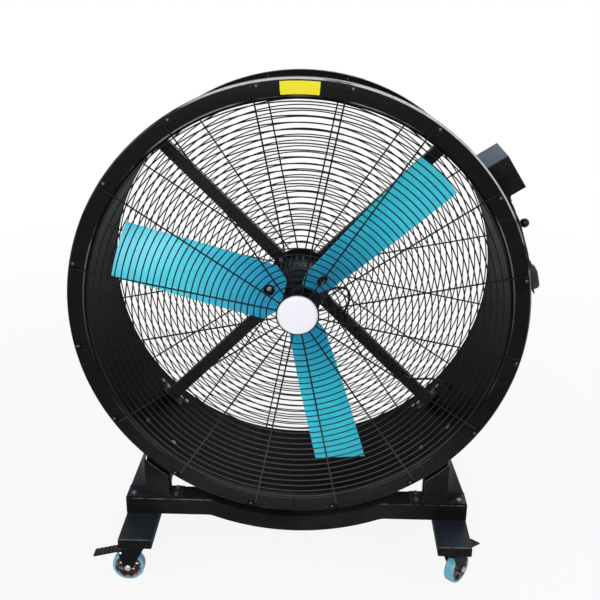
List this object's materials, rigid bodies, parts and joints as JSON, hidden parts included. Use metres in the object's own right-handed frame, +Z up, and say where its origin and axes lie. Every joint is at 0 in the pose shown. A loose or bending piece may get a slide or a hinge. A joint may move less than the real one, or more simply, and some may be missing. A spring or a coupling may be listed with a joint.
{
  "type": "drum fan",
  "caption": "Mobile industrial drum fan: blue blades inside a black steel drum with wire guards, on a wheeled base with a side control box and coiled mains cord.",
  "frame": {"origin": "on the floor, below the middle of the drum: centre of the base between its four casters", "axes": "+X to the right seen from the front, +Y to the rear along the fan axis, +Z up; air leaves towards -Y"},
  "size_m": [1.4481, 0.771, 1.585],
  "materials": {
    "black_paint": "satin black powder coat",
    "blade_blue": "gloss blue paint",
    "cap_white": "gloss moulded",
    "zinc_plate": "bright zinc plate",
    "motor_black": "satin black paint on castings",
    "machined_steel": "turned and ground",
    "black_plastic": "moulded, fine texture",
    "cord_rubber": "smooth black sheath",
    "plug_grey": "moulded grey with ribs",
    "tyre_blue": "translucent light blue",
    "core_brown": "moulded brown grey"
  },
  "bodies": {
    "base": {"drum_shell": "black_paint", "front_ring": "black_paint", "rear_ring": "black_paint", "front_guard": "black_paint", "rear_guard": "black_paint", "guard_clips": "black_paint", "motor_arm_1": "black_paint", "motor_arm_2": "black_paint", "motor_arm_3": "black_paint", "motor_arm_4": "black_paint", "arm_brackets": "black_paint", "motor_mount_plate": "black_paint", "control_box": "black_paint", "control_box_lid": "black_paint", "cord_hook": "black_paint", "left_leg": "black_paint", "right_leg": "black_paint", "front_beam": "black_paint", "rear_beam": "black_paint", "left_supports": "black_paint", "right_supports": "black_paint", "caster_plates": "black_paint", "guard_screws": "zinc_plate", "frame_bolts": "zinc_plate", "motor_housing": "motor_black", "motor_covers": "motor_black", "motor_bearings": "machined_steel", "motor_stator": "machined_steel", "guard_cap": "cap_white", "speed_controller": "black_plastic", "cable_glands": "black_plastic", "lead_clips": "black_plastic", "motor_lead": "cord_rubber", "mains_cord": "cord_rubber", "cord_coil": "cord_rubber", "plug_cord": "cord_rubber", "mains_plug": "plug_grey"},
    "rotor": {"motor_shaft": "machined_steel", "motor_rotor_core": "machined_steel", "blade_hub": "black_paint", "blade_1": "blade_blue", "blade_2": "blade_blue", "blade_3": "blade_blue", "blade_bosses": "black_paint", "rotor_bolts": "zinc_plate"},
    "knob": {"speed_knob": "black_plastic"},
    "fork_fl": {"caster_fork_fl": "black_paint"},
    "wheel_fl": {"wheel_core_fl": "core_brown", "tyre_fl": "tyre_blue"},
    "pedal_fl": {"brake_pedal_fl": "black_plastic"},
    "fork_fr": {"caster_fork_fr": "black_paint"},
    "wheel_fr": {"wheel_core_fr": "core_brown", "tyre_fr": "tyre_blue"},
    "pedal_fr": {"brake_pedal_fr": "black_plastic"},
    "fork_rl": {"caster_fork_rl": "black_paint"},
    "wheel_rl": {"wheel_core_rl": "core_brown", "tyre_rl": "tyre_blue"},
    "fork_rr": {"caster_fork_rr": "black_paint"},
    "wheel_rr": {"wheel_core_rr": "core_brown", "tyre_rr": "tyre_blue"}
  },
  "joints": [
    {"name": "rotor_spin", "type": "hinge", "parent": "base", "child": "rotor", "pos_m": [0, 0, 0.885], "axis": [0, 1, 0], "continuous": true},
    {"name": "speed_knob_turn", "type": "hinge", "parent": "base", "child": "knob", "pos_m": [0.57756, 0.0985, 1.29732], "axis": [0, 1, 0], "range_deg": [0, 270]},
    {"name": "caster_swivel_fl", "type": "hinge", "parent": "base", "child": "fork_fl", "pos_m": [-0.502, -0.3335, 0.14], "axis": [0, 0, 1], "continuous": true},
    {"name": "wheel_roll_fl", "type": "hinge", "parent": "fork_fl", "child": "wheel_fl", "pos_m": [-0.536, -0.3335, 0.051], "axis": [0, -1, 0], "continuous": true},
    {"name": "brake_pedal_fl", "type": "hinge", "parent": "fork_fl", "child": "pedal_fl", "pos_m": [-0.556, -0.3335, 0.108], "axis": [0, -1, 0], "range_deg": [0, 20]},
    {"name": "caster_swivel_fr", "type": "hinge", "parent": "base", "child": "fork_fr", "pos_m": [0.502, -0.3335, 0.14], "axis": [0, 0, 1], "continuous": true},
    {"name": "wheel_roll_fr", "type": "hinge", "parent": "fork_fr", "child": "wheel_fr", "pos_m": [0.52385, -0.30745, 0.051], "axis": [-0.766, 0.6428, 0], "continuous": true},
    {"name": "brake_pedal_fr", "type": "hinge", "parent": "fork_fr", "child": "pedal_fr", "pos_m": [0.53671, -0.29213, 0.108], "axis": [-0.766, 0.6428, 0], "range_deg": [0, 20]},
    {"name": "caster_swivel_rl", "type": "hinge", "parent": "base", "child": "fork_rl", "pos_m": [-0.502, 0.3335, 0.14], "axis": [0, 0, 1], "continuous": true},
    {"name": "wheel_roll_rl", "type": "hinge", "parent": "fork_rl", "child": "wheel_rl", "pos_m": [-0.53395, 0.34513, 0.051], "axis": [-0.342, -0.9397, 0], "continuous": true},
    {"name": "caster_swivel_rr", "type": "hinge", "parent": "base", "child": "fork_rr", "pos_m": [0.502, 0.3335, 0.14], "axis": [0, 0, 1], "continuous": true},
    {"name": "wheel_roll_rr", "type": "hinge", "parent": "fork_rr", "child": "wheel_rr", "pos_m": [0.53352, 0.32076, 0.051], "axis": [0.3746, 0.9272, 0], "continuous": true}
  ]
}
